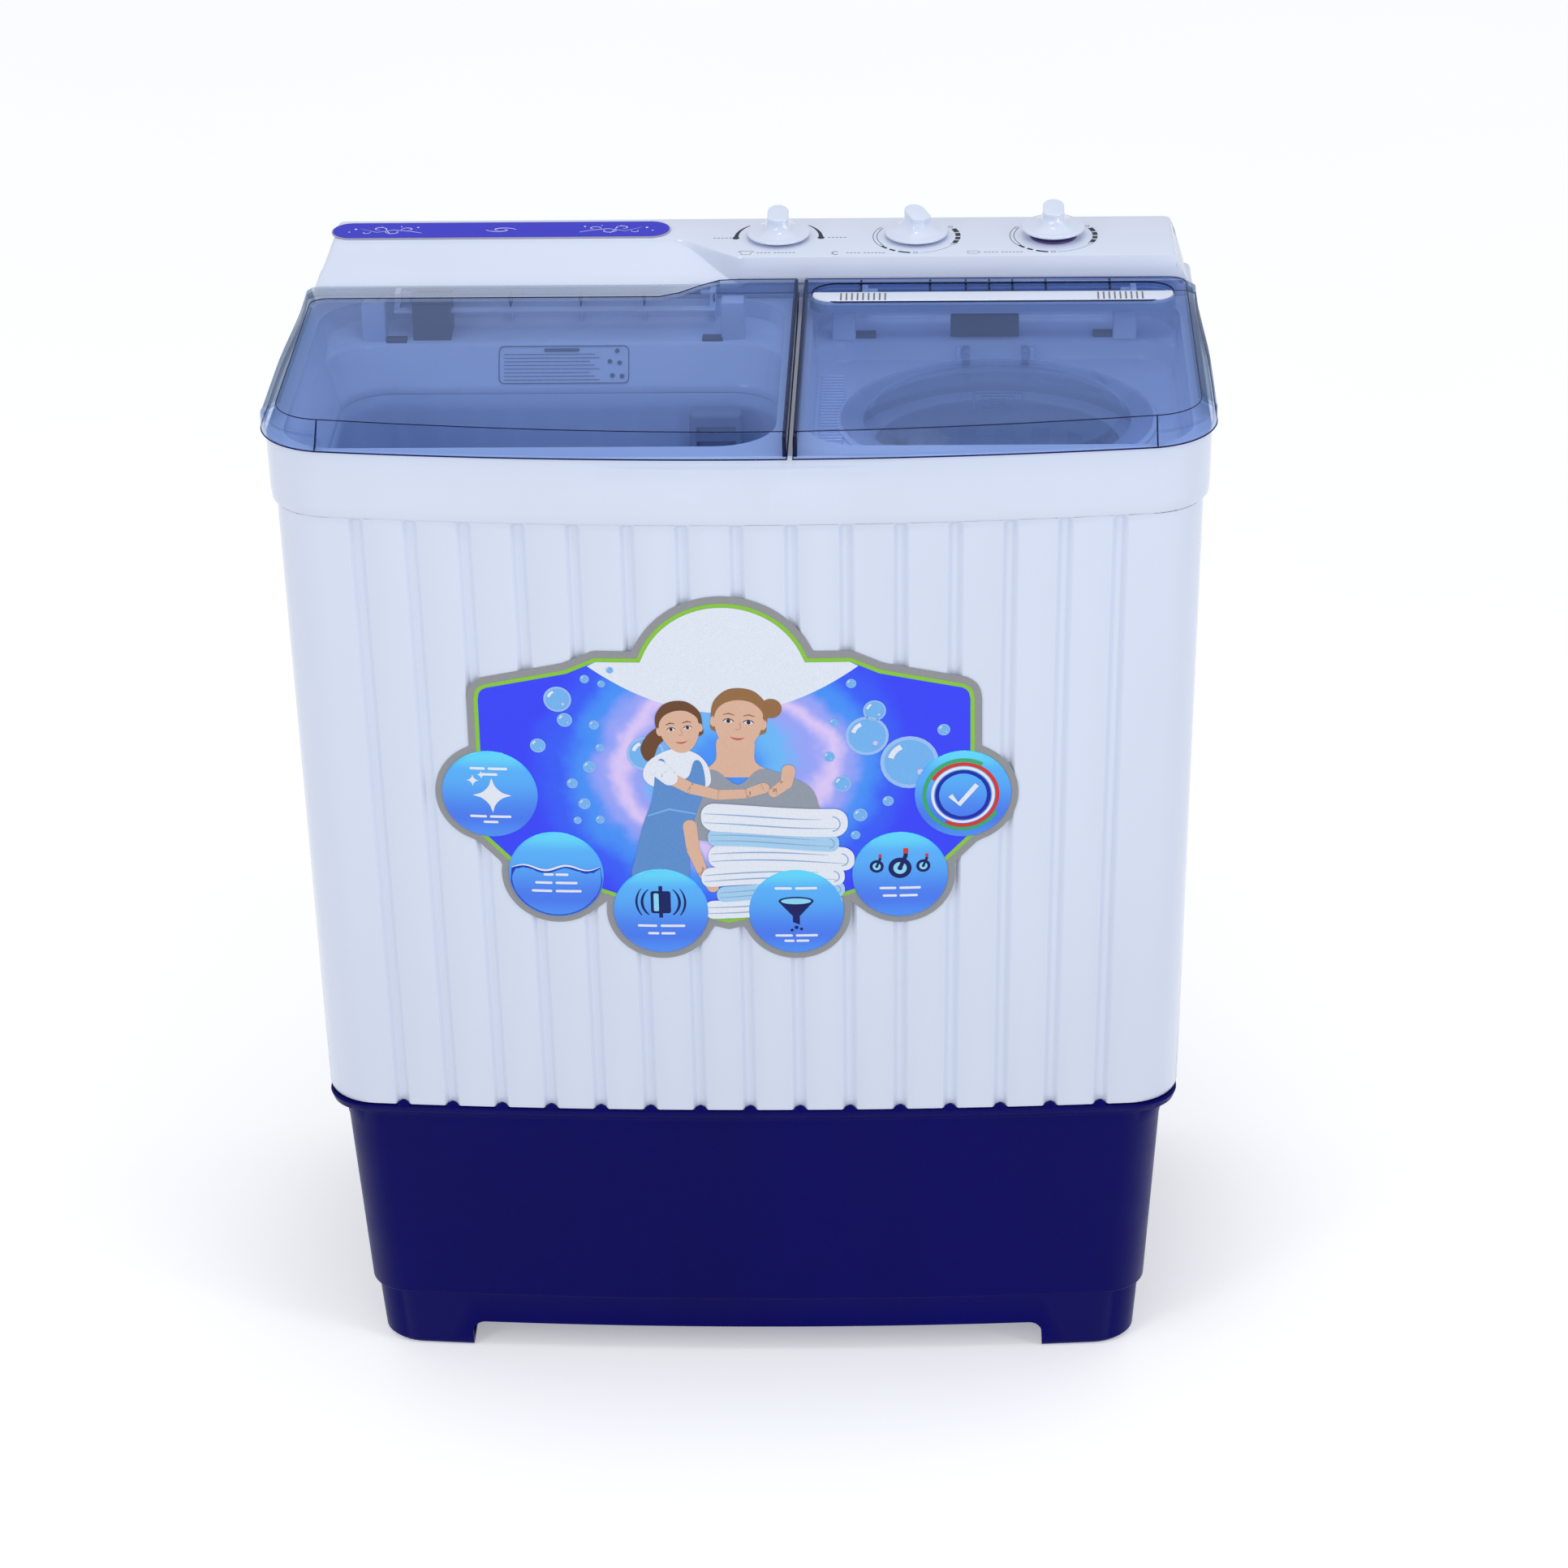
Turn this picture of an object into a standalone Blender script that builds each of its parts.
"""Twin tub washer: a fluted cabinet on a navy base, with a wash tub and a spin tub under two clear lids.

Metres, +Z up, +X to the right of someone who faces the front, -Y towards them.
The origin is on the floor, below the middle of the outline.
"""

import math

import bmesh
import bpy
from mathutils import Matrix, Vector

# ---------------------------------------------------------------- driving dimensions
WIDTH = 0.740
DEPTH = 0.455
FRONT = -DEPTH / 2
BACK = DEPTH / 2
WALL = 0.003
GAP = 0.0003

# Levels, from the floor up
NOTCH_Z = 0.025
STEP_Z = 0.053
DECK_Z = 0.072
DECK_TOP = 0.0775
SHOULDER_Z = 0.2365
CABINET_Z = 0.245
SEAM_Z = 0.7945
RIM_Z = 0.829
LID_EDGE_Z = 0.8295
LID_TOP_Z = 0.847

# The cabinet
CABINET_HALF_LOW, CABINET_HALF_HIGH = 0.3502, 0.3605
CABINET_FRONT_LOW, CABINET_FRONT_HIGH = -0.1968, -0.2170
CABINET_BACK = 0.2175
BOW_LOW, BOW_HIGH = 0.0116, 0.0198
CORNER = 0.045
FLUTES = 15
FLUTE_PITCH_LOW, FLUTE_PITCH_HIGH = 0.0408, 0.0421
FLUTE_WIDTH, FLUTE_DEPTH = 0.0130, 0.0022
FLUTE_TOP_Z, FLUTE_RUNOUT = 0.7735, 0.008

# The lids
LID_BACK = 0.1305
LID_CORNER = 0.060
SPLIT_X = 0.0425
LID_GAP = 0.006
LID_SHEET = 0.0025
HINGE_Y, HINGE_Z = 0.1225, 0.8385
HINGE_PIN_R = 0.0020

# The control panel
PANEL_HALF_LOW, PANEL_HALF_HIGH = 0.3610, 0.3500
PANEL_FRONT, PANEL_BACK = 0.1340, 0.2195
PANEL_SILL_Z = 0.8405
SLOPE_TOP_Y, SLOPE_TOP_Z = 0.1745, 0.8652
TOP_FRONT_Z, TOP_BACK_Z, TOP_BACK_Y = 0.864, 0.869, 0.2175
SWEEP_FROM, SWEEP_TO = -0.068, -0.002
LEAN_Z = RIM_Z + 0.012
KNOB_X = (0.0225, 0.1370, 0.2505)
KNOB_Y = 0.177
KNOB_R = 0.0262
SPIN_KNOB_LIFT = 0.0035
LABEL_Y, LABEL_HALF = 0.194, 0.0172
KNOB_SHAFT_R = 0.003
INLET_X, INLET_Z = -0.240, 0.846

# The wash side
WASH_X = (-0.3305, 0.0245)
WASH_Y = (-0.1870, 0.0660)
WASH_MOUTH_Z = 0.7715
WASH_FLOOR_Z = 0.338
WASH_AXIS = (-0.1525, -0.0575)
MOTOR_AXIS = (-0.2125, 0.0720)
PULLEY_Z = 0.166
PULLEY_R, MOTOR_PULLEY_R = 0.085, 0.0215
GROOVE = 0.0058
DRAIN_AXIS = (-0.0350, 0.0150)

# The spin side
SPIN_AXIS = (0.2017, -0.0450)
SPIN_DECK_Z = 0.790
SPIN_HOLE_R = 0.1225
SPIN_TUB_R = 0.140
BASKET_R = 0.118
BASKET_Z, BASKET_TOP = 0.325, 0.770
DRUM_R = 0.048
COVER_HINGE_Y, COVER_HINGE_Z = 0.0885, 0.7975

# The castors
CASTOR_X, CASTOR_Y = 0.245, 0.150
CASTOR_TRAIL, CASTOR_R, CASTOR_AXLE_Z = 0.014, 0.022, 0.0222


# ---------------------------------------------------------------- materials
def material(name, colour, roughness, metallic=0.0, alpha=1.0):
    made = bpy.data.materials.new(name)
    made.use_nodes = True
    shader = made.node_tree.nodes["Principled BSDF"]
    shader.inputs["Base Color"].default_value = (*colour, 1.0)
    shader.inputs["Roughness"].default_value = roughness
    shader.inputs["Metallic"].default_value = metallic
    shader.inputs["Alpha"].default_value = alpha
    made.diffuse_color = (*colour, alpha)
    return made


def make_materials():
    return {
        "white": material("white_abs", (0.78, 0.82, 0.93), 0.22),
        "navy": material("navy_pp", (0.008, 0.006, 0.115), 0.38),
        "tint": material("blue_lid", (0.16, 0.26, 0.56), 0.08, alpha=0.45),
        "clear": material("clear_cover", (0.45, 0.58, 0.85), 0.10, alpha=0.35),
        "tub": material("tub_pp", (0.62, 0.68, 0.82), 0.40),
        "label": material("label_violet", (0.075, 0.065, 0.60), 0.30),
        "badge": material("badge_print", (0.10, 0.25, 0.80), 0.25),
        "grey": material("grey_plastic", (0.30, 0.31, 0.33), 0.45),
        "black": material("black_plastic", (0.02, 0.02, 0.022), 0.55),
        "rubber": material("rubber", (0.03, 0.03, 0.03), 0.85),
        "steel": material("zinc_steel", (0.62, 0.63, 0.65), 0.35, 1.0),
        "cast": material("cast_aluminium", (0.55, 0.56, 0.58), 0.5, 1.0),
        "motor": material("motor_can", (0.32, 0.33, 0.35), 0.45, 0.8),
    }


# ---------------------------------------------------------------- mesh helpers
def clear_scene():
    for thing in list(bpy.data.objects):
        bpy.data.objects.remove(thing, do_unlink=True)


def add(name, mesh, finish=None):
    made = bpy.data.objects.new(name, mesh)
    bpy.context.scene.collection.objects.link(made)
    if finish:
        mesh.materials.append(finish)
    return made


def finished(name, bm, finish, smooth_deg=35):
    bmesh.ops.remove_doubles(bm, verts=bm.verts, dist=1e-6)
    bmesh.ops.recalc_face_normals(bm, faces=bm.faces)
    mesh = bpy.data.meshes.new(name)
    bm.to_mesh(mesh)
    bm.free()
    mesh.shade_smooth()
    mesh.set_sharp_from_angle(angle=math.radians(smooth_deg))
    return add(name, mesh, finish)


def ring_of(bm, points):
    return [bm.verts.new(point) for point in points]


def skin(bm, low, high):
    count = len(low)
    for i in range(count):
        j = (i + 1) % count
        bm.faces.new((low[i], low[j], high[j], high[i]))


def at_height(outline, z):
    return [(x, y, z) for x, y in outline]


def loft(name, rings, finish):
    """A closed solid through rings of equal length, capped at both ends."""
    bm = bmesh.new()
    made = [ring_of(bm, ring) for ring in rings]
    for low, high in zip(made, made[1:]):
        skin(bm, low, high)
    bm.faces.new(made[0])
    bm.faces.new(made[-1])
    return finished(name, bm, finish)


def tube_loft(name, rings, finish):
    """A closed solid whose rings run up the outside and down the inside, back to the first."""
    bm = bmesh.new()
    made = [ring_of(bm, ring) for ring in rings]
    for low, high in zip(made, made[1:] + made[:1]):
        skin(bm, low, high)
    return finished(name, bm, finish)


def turned(name, profile, centre, finish, steps=32):
    """Turns a closed or axis-to-axis (radius, z) profile about the vertical line through centre."""
    bm = bmesh.new()
    points = [bm.verts.new((centre[0] + r, centre[1], z)) for r, z in profile]
    edges = [bm.edges.new(pair) for pair in zip(points, points[1:])]
    if profile[0][0] > 0 or profile[-1][0] > 0:
        edges.append(bm.edges.new((points[-1], points[0])))
    bmesh.ops.spin(
        bm,
        geom=points + edges,
        cent=(centre[0], centre[1], 0),
        axis=(0, 0, 1),
        angle=math.tau,
        steps=steps,
        use_merge=True,
    )
    return finished(name, bm, finish)


def cylinder(name, centre, radius, low, high, finish=None, steps=16):
    return turned(name, [(0, low), (radius, low), (radius, high), (0, high)], centre, finish, steps)


def rod_along(name, start, end, radius, finish=None, steps=12):
    """A straight round bar between two points."""
    start, end = Vector(start), Vector(end)
    bm = bmesh.new()
    turn = (end - start).to_track_quat("Z", "Y").to_matrix().to_4x4()
    place = Matrix.Translation((start + end) / 2) @ turn
    bmesh.ops.create_cone(
        bm,
        cap_ends=True,
        segments=steps,
        radius1=radius,
        radius2=radius,
        depth=(end - start).length,
        matrix=place,
    )
    return finished(name, bm, finish)


def block(name, low, high, finish=None, bevel=0.0):
    bm = bmesh.new()
    bmesh.ops.create_cube(bm, size=1.0)
    size = Vector(high) - Vector(low)
    bmesh.ops.scale(bm, vec=size, verts=bm.verts)
    bmesh.ops.translate(bm, vec=(Vector(high) + Vector(low)) / 2, verts=bm.verts)
    if bevel:
        bmesh.ops.bevel(bm, geom=bm.edges[:], offset=bevel, segments=1, affect="EDGES")
    return finished(name, bm, finish)


def combine(target, operation, tools):
    for tool in tools:
        step = target.modifiers.new(f"{operation.lower()}_{tool.name}", "BOOLEAN")
        step.operation = operation
        step.solver = "EXACT"
        step.object = tool
        tool.hide_render = True
        tool.display_type = "WIRE"
    return target


def cut(target, *tools):
    return combine(target, "DIFFERENCE", tools)


def join(target, *tools):
    return combine(target, "UNION", tools)


# ---------------------------------------------------------------- outlines
def arc(cx, cy, radius, start_deg, end_deg, steps):
    angles = [math.radians(start_deg + (end_deg - start_deg) * i / steps) for i in range(steps + 1)]
    return [(cx + radius * math.cos(a), cy + radius * math.sin(a)) for a in angles]


def rounded_rect(x, y, radius, steps=4):
    """Corners of a rounded rectangle, anticlockwise from the bottom right."""
    x0, x1, y0, y1 = x[0] + radius, x[1] - radius, y[0] + radius, y[1] - radius
    return (
        arc(x1, y0, radius, -90, 0, steps)
        + arc(x1, y1, radius, 0, 90, steps)
        + arc(x0, y1, radius, 90, 180, steps)
        + arc(x0, y0, radius, 180, 270, steps)
    )


def bow_radius(half_chord, bow):
    return (half_chord**2 + bow**2) / (2 * bow)


def front_y(x, front, radius):
    """The bowed front edge: a large arc whose foremost point is at x = 0."""
    return front + radius - math.sqrt(radius**2 - x**2)


def bowed_plan(half, front, back, bow, corner, back_corner=0.012, front_xs=None, corner_steps=5):
    """An outline with a bowed front, anticlockwise from the left end of the bow."""
    radius = bow_radius(half - corner, bow)
    lean = math.asin((half - corner) / (radius - corner))
    cx = half - corner
    cy = front + radius - (radius - corner) * math.cos(lean)
    end_x = radius * math.sin(lean)
    if front_xs is None:
        front_xs = [end_x * (i / 5 - 1) for i in range(1, 10)]
    start = -90 + math.degrees(lean)
    points = [(-end_x, front_y(end_x, front, radius))]
    points += [(x, front_y(x, front, radius)) for x in front_xs]
    points += arc(cx, cy, corner, start, 0, corner_steps)
    points += arc(half - back_corner, back - back_corner, back_corner, 0, 90, 2)
    points += arc(-half + back_corner, back - back_corner, back_corner, 90, 180, 2)
    points += arc(-cx, cy, corner, 180, 270 - math.degrees(lean), corner_steps)[:-1]
    return points


def blend(low, high, z):
    share = (z - CABINET_Z) / (SEAM_Z - CABINET_Z)
    return low + (high - low) * share


def cabinet_bow(z):
    half = blend(CABINET_HALF_LOW, CABINET_HALF_HIGH, z)
    return bow_radius(half - CORNER, blend(BOW_LOW, BOW_HIGH, z))


def cabinet_front(x, z):
    """The Y of the cabinet's front face, between the flutes."""
    return front_y(x, blend(CABINET_FRONT_LOW, CABINET_FRONT_HIGH, z), cabinet_bow(z))


# ---------------------------------------------------------------- base
def base_ring(z, half, front, inset=0.0, bow=BOW_LOW):
    return at_height(
        bowed_plan(half - inset, front + inset, CABINET_BACK - 0.004 - inset, bow, 0.035), z
    )


def make_base(finish):
    """The navy skirt, with a motor deck across it and two feet at the front corners."""
    shell = loft(
        "base",
        [
            base_ring(0.0, 0.3140, -0.1705),
            base_ring(0.0035, 0.3175, -0.1735),
            base_ring(STEP_Z, 0.3215, -0.1765),
            base_ring(STEP_Z + 0.003, 0.3255, -0.1800),
            base_ring(SHOULDER_Z - 0.003, 0.3369, -0.1900),
            base_ring(SHOULDER_Z, 0.3465, -0.1935),
            base_ring(CABINET_Z - GAP, 0.3490, -0.1955),
        ],
        finish,
    )
    below = loft(
        "base_hollow_below",
        [base_ring(0.004, 0.3170, -0.1735, 0.0035), base_ring(DECK_Z, 0.3215, -0.1765, 0.0035)],
        None,
    )
    above = loft(
        "base_hollow_above",
        [
            base_ring(DECK_TOP, 0.3255, -0.1800, 0.0035),
            base_ring(SHOULDER_Z - 0.004, 0.3369, -0.1900, 0.0035),
            base_ring(CABINET_Z + 0.01, 0.3369, -0.1900, 0.0035),
        ],
        None,
    )
    long_notch = block("base_notch_long", (-0.240, -0.3, -0.01), (0.240, 0.3, NOTCH_Z), None)
    side_notch = block("base_notch_side", (-0.4, -0.100, -0.01), (0.4, 0.3, NOTCH_Z), None)
    holes = [
        cylinder(f"base_castor_hole_{i}", (side * CASTOR_X, CASTOR_Y), 0.0048, 0.06, 0.09, None, 12)
        for i, side in enumerate((-1, 1))
    ]
    drain = rod_along("base_drain_hole", (DRAIN_AXIS[0], 0.18, 0.150), (DRAIN_AXIS[0], 0.24, 0.150), 0.0135)
    return cut(shell, below, above, long_notch, side_notch, *holes, drain)


# ---------------------------------------------------------------- cabinet
def cabinet_plan(z, inset=0.0, depth=0.0):
    half = blend(CABINET_HALF_LOW, CABINET_HALF_HIGH, z) - inset
    front = blend(CABINET_FRONT_LOW, CABINET_FRONT_HIGH, z) + inset
    pitch = blend(FLUTE_PITCH_LOW, FLUTE_PITCH_HIGH, z)
    xs, sunk = [], []
    for i in range(FLUTES):
        middle = (i - (FLUTES - 1) / 2) * pitch
        xs += [middle + FLUTE_WIDTH * k for k in (-0.5, -0.22, 0.22, 0.5)]
        sunk += [0, depth, depth, 0]
    plan = bowed_plan(
        half, front, CABINET_BACK - inset, blend(BOW_LOW, BOW_HIGH, z), CORNER - inset, 0.012, xs,
    )
    for i, lower in enumerate(sunk):
        x, y = plan[i + 1]
        plan[i + 1] = (x, y + lower)
    return at_height(plan, z)


def make_cabinet(finish):
    """The fluted body shell, open at the top and bottom."""
    runout = FLUTE_TOP_Z - FLUTE_RUNOUT
    shell = tube_loft(
        "cabinet",
        [
            cabinet_plan(CABINET_Z, 0.0, FLUTE_DEPTH),
            cabinet_plan(runout, 0.0, FLUTE_DEPTH),
            cabinet_plan(FLUTE_TOP_Z, 0.0),
            cabinet_plan(SEAM_Z - GAP, 0.0),
            cabinet_plan(SEAM_Z - GAP, 0.005),
            cabinet_plan(CABINET_Z, 0.005),
        ],
        finish,
    )
    service = block("cabinet_service_hole", (-0.260, 0.19, 0.300), (0.260, 0.24, 0.660), None)
    gland = rod_along("cabinet_gland_hole", (0.290, 0.19, 0.270), (0.290, 0.24, 0.270), 0.0095)
    return cut(shell, service, gland)


def make_rear_cover(parts, finish, screw_finish):
    face = CABINET_BACK + GAP
    cover = block("rear_cover", (-0.275, face, 0.285), (0.275, face + 0.0015, 0.675), finish)
    ribs = [
        block(
            f"cover_rib_{i}",
            (-0.20, face + 0.001, 0.40 + 0.035 * i),
            (0.20, face + 0.004, 0.412 + 0.035 * i),
        )
        for i in range(6)
    ]
    parts.append(join(cover, *ribs))
    corners = [(x, z) for x in (-0.267, 0.267) for z in (0.2925, 0.6675)]
    for i, (x, z) in enumerate(corners, 1):
        out = face + 0.0015 + GAP
        parts.append(
            rod_along(f"cover_screw_{i}", (x, out, z), (x, out + 0.0022, z), 0.0042, screw_finish, 8)
        )


# ---------------------------------------------------------------- top frame
def make_top_frame(finish):
    """The rim: a wash funnel, a spin deck with its round hole, and an open bay under the panel."""

    def rim(z, half, front):
        return at_height(bowed_plan(half, front, PANEL_BACK, BOW_HIGH, 0.052), z)

    frame = loft(
        "top_frame",
        [
            rim(SEAM_Z, 0.3632, -0.2188),
            rim(SEAM_Z + 0.008, 0.3655, -0.2205),
            rim(RIM_Z - 0.0015, 0.3662, -0.2232),
            rim(RIM_Z, 0.3650, -0.2220),
        ],
        finish,
    )
    top_x, top_y = (-0.3520, 0.0300), (-0.1980, 0.0970)
    funnel_wall = loft(
        "funnel_wall",
        [
            at_height(
                rounded_rect(
                    (WASH_X[0] - WALL, WASH_X[1] + WALL),
                    (WASH_Y[0] - WALL, WASH_Y[1] + WALL),
                    0.043,
                ),
                0.7720,
            ),
            at_height(
                rounded_rect(
                    (WASH_X[0] - WALL, WASH_X[1] + WALL),
                    (WASH_Y[0] - WALL, WASH_Y[1] + WALL),
                    0.043,
                ),
                0.7780,
            ),
            at_height(rounded_rect((-0.3535, 0.0330), (-0.2000, 0.1000), 0.050), RIM_Z - 0.003),
        ],
        None,
    )
    funnel = loft(
        "funnel_hollow",
        [
            at_height(rounded_rect(WASH_X, WASH_Y, 0.040), 0.7600),
            at_height(rounded_rect(WASH_X, WASH_Y, 0.040), 0.7780),
            at_height(rounded_rect(top_x, top_y, 0.047), RIM_Z - 0.001),
            at_height(rounded_rect(top_x, top_y, 0.047), RIM_Z + 0.01),
        ],
        None,
    )
    deck_wall = loft(
        "deck_wall",
        [
            at_height(rounded_rect((0.0490, 0.3490), (-0.1890, 0.1000), 0.043), SPIN_DECK_Z - WALL),
            at_height(rounded_rect((0.0490, 0.3550), (-0.2010, 0.1000), 0.046), RIM_Z - 0.002),
        ],
        None,
    )
    deck = loft(
        "deck_hollow",
        [
            at_height(rounded_rect((0.0530, 0.3460), (-0.1860, 0.0950), 0.040), SPIN_DECK_Z),
            at_height(rounded_rect((0.0530, 0.3520), (-0.1980, 0.0970), 0.043), RIM_Z + 0.01),
        ],
        None,
    )
    hole = cylinder("deck_hole", SPIN_AXIS, SPIN_HOLE_R, 0.76, 0.81, None, 28)
    bay = block("panel_bay", (-0.345, 0.1400, 0.70), (0.345, 0.2125, 0.90), None)
    lip = loft(
        "finger_lip",
        [
            at_height(
                [(-0.128, -0.230), (0.120, -0.230), (0.120, -0.2170), (-0.128, -0.2170)],
                RIM_Z + 0.001,
            ),
            at_height(
                [(-0.110, -0.230), (0.104, -0.230), (0.104, -0.2200), (-0.110, -0.2200)],
                RIM_Z - 0.0095,
            ),
        ],
        None,
    )
    join(frame, funnel_wall, deck_wall)
    return cut(frame, funnel, deck, hole, bay, lip)


# ---------------------------------------------------------------- control panel
def ease(t):
    t = min(max(t, 0.0), 1.0)
    return t * t * (3 - 2 * t)


def deck_z(y):
    """The sloping top face that carries the knobs and the label."""
    return TOP_FRONT_Z + (y - PANEL_FRONT) * (TOP_BACK_Z - TOP_FRONT_Z) / (TOP_BACK_Y - PANEL_FRONT)


def slope_z(y):
    return PANEL_SILL_Z + (y - PANEL_FRONT) * (SLOPE_TOP_Z - PANEL_SILL_Z) / (SLOPE_TOP_Y - PANEL_FRONT)


def panel_section(x, inset=0.0):
    """The panel's (y, z) section: a slope at the left that sweeps into an upright face at the right."""
    edge = SLOPE_TOP_Y + (PANEL_FRONT + 0.0012 - SLOPE_TOP_Y) * ease(
        (x - SWEEP_FROM) / (SWEEP_TO - SWEEP_FROM),
    )
    front, back = PANEL_FRONT + inset, PANEL_BACK - inset
    edge += inset
    foot = RIM_Z + GAP - (0.01 if inset else 0.0)
    return [
        (front, foot),
        (front, PANEL_SILL_Z - inset * 0.6),
        (edge - 0.0008, slope_z(edge - 0.0008) - inset),
        (edge, deck_z(edge) - inset),
        (TOP_BACK_Y - inset, TOP_BACK_Z - inset),
        (back, TOP_BACK_Z - 0.005 - inset),
        (back, foot),
    ]


def panel_loft(name, inset, finish):
    sweep = [SWEEP_FROM + (SWEEP_TO - SWEEP_FROM) * i / 8 for i in range(9)]
    xs = [-PANEL_HALF_LOW + inset, *sweep, PANEL_HALF_LOW - inset]
    bm = bmesh.new()
    rings = []
    for x in xs:
        ring = []
        for y, z in panel_section(x, inset):
            share = 1.0 if inset else max(0.0, z - LEAN_Z) / (TOP_BACK_Z - LEAN_Z)
            end = PANEL_HALF_LOW - inset - (PANEL_HALF_LOW - PANEL_HALF_HIGH) * share
            ring.append((max(-end, min(end, x)), y, z))
        rings.append(ring_of(bm, ring))
    for low, high in zip(rings, rings[1:]):
        skin(bm, low, high)
    bm.faces.new(rings[0])
    bm.faces.new(rings[-1])
    return finished(name, bm, finish)


def tilted(x, depth=0.0):
    """The frame of a knob: its origin on the sloping top face and its Z along the knob's axis."""
    lean = math.atan2(TOP_BACK_Z - TOP_FRONT_Z, TOP_BACK_Y - PANEL_FRONT)
    place = Matrix.Translation((x, KNOB_Y, deck_z(KNOB_Y))) @ Matrix.Rotation(lean, 4, "X")
    return place @ Matrix.Translation((0, 0, depth))


def make_panel(finish):
    panel = panel_loft("control_panel", 0.0, finish)
    hollow = panel_loft("panel_hollow", 0.0025, None)
    holes = []
    for i, x in enumerate(KNOB_X):
        hole = cylinder(f"shaft_hole_{i}", (0, 0), KNOB_SHAFT_R + 0.0008, -0.01, 0.01, None, 12)
        hole.matrix_world = tilted(x)
        holes.append(hole)
    inlet = rod_along("inlet_hole", (INLET_X, 0.20, INLET_Z), (INLET_X, 0.23, INLET_Z), 0.0074)
    return cut(panel, hollow, *holes, inlet)


def make_knob(name, x, turn_deg, lift, finish):
    """A saucer with a rounded blade grip, on the shaft that enters its switch."""
    saucer = turned(
        name,
        [
            (0, 0.0030),
            (KNOB_R - 0.0025, 0.0030),
            (KNOB_R, 0.0036),
            (KNOB_R, 0.0056),
            (KNOB_R - 0.0035, 0.0074),
            (0.0150, 0.0104),
            (0.0115, 0.0124),
            (0, 0.0124),
        ],
        (0, 0),
        finish,
        18,
    )
    grip = loft(
        f"{name}_grip",
        [
            at_height(rounded_rect((-0.0088, 0.0088), (-0.0155, 0.0155), 0.0080, 2), 0.0090),
            at_height(rounded_rect((-0.0070, 0.0070), (-0.0145, 0.0145), 0.0065, 2), 0.0140),
            at_height(rounded_rect((-0.0064, 0.0064), (-0.0135, 0.0135), 0.0060, 2), 0.0208),
            at_height(rounded_rect((-0.0046, 0.0046), (-0.0110, 0.0110), 0.0045, 2), 0.0234),
        ],
        None,
    )
    shaft = cylinder(f"{name}_shaft", (0, 0), KNOB_SHAFT_R, -0.012 - lift, 0.004, None, 12)
    turn = Matrix.Rotation(math.radians(turn_deg), 4, "Z")
    for piece in (saucer, grip, shaft):
        piece.matrix_world = tilted(x, lift) @ turn
    return join(saucer, grip, shaft)


def make_switch(name, x, size, finish):
    """A timer or selector under the panel, with the blind bore that takes its knob's shaft."""
    wide, deep, tall = size
    body = block(
        name,
        (-wide / 2, -deep / 2, -0.0035 - tall),
        (wide / 2, deep / 2, -0.0035),
        finish,
        0.0015,
    )
    bore = cylinder(f"{name}_bore", (0, 0), KNOB_SHAFT_R + 0.0004, -0.014, 0.01, None, 12)
    for piece in (body, bore):
        piece.matrix_world = tilted(x)
    return cut(body, bore)


def make_label(finish):
    """The pill-shaped label on the left of the top face."""
    outline = rounded_rect((-0.352, -0.068), (-LABEL_HALF, LABEL_HALF), LABEL_HALF - 0.0001, 6)
    middle = (LABEL_Y, deck_z(LABEL_Y))
    label = loft("panel_label", [at_height(outline, 0.0003), at_height(outline, 0.0011)], finish)
    lean = math.atan2(TOP_BACK_Z - TOP_FRONT_Z, TOP_BACK_Y - PANEL_FRONT)
    label.matrix_world = Matrix.Translation((0, *middle)) @ Matrix.Rotation(lean, 4, "X")
    return label


def make_inlet(finish):
    """The hose spigot at the back of the panel, where the water comes in."""
    spigot = rod_along(
        "water_inlet",
        (INLET_X, 0.2060, INLET_Z),
        (INLET_X, BACK, INLET_Z),
        0.0070,
        finish,
        16,
    )
    bore = rod_along(
        "inlet_bore",
        (INLET_X, 0.20, INLET_Z),
        (INLET_X, BACK + 0.01, INLET_Z),
        0.0048,
        None,
        12,
    )
    return cut(spigot, bore)


# ---------------------------------------------------------------- lids
def lid_plan(side, z, inset, front_inset, gap_inset, back_inset):
    """Half of the bowed outline: side -1 is the wash lid and +1 the spin lid."""
    half = WIDTH / 2 - inset
    corner = LID_CORNER - inset
    radius = bow_radius(WIDTH / 2 - LID_CORNER, BOW_HIGH)
    front = FRONT + front_inset
    lean = math.asin((half - corner) / (radius - corner))
    cy = front + radius - (radius - corner) * math.cos(lean)
    inner = SPLIT_X + side * (LID_GAP / 2 + gap_inset)
    end_x = side * radius * math.sin(lean)
    xs = [inner + (end_x - inner) * i / 6 for i in range(7)]
    points = [(x, front_y(x, front, radius)) for x in xs]
    corner_arc = arc(half - corner, cy, corner, -90 + math.degrees(lean), 0, 6)[1:]
    points += [(side * x, y) for x, y in corner_arc]
    rear_half = half - 0.004
    back = LID_BACK - back_inset
    points += [(side * x, y) for x, y in arc(rear_half - 0.012, back - 0.012, 0.012, 0, 90, 3)]
    points.append((inner, back))
    if side < 0:
        points.reverse()
    return at_height(points, z)


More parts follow.
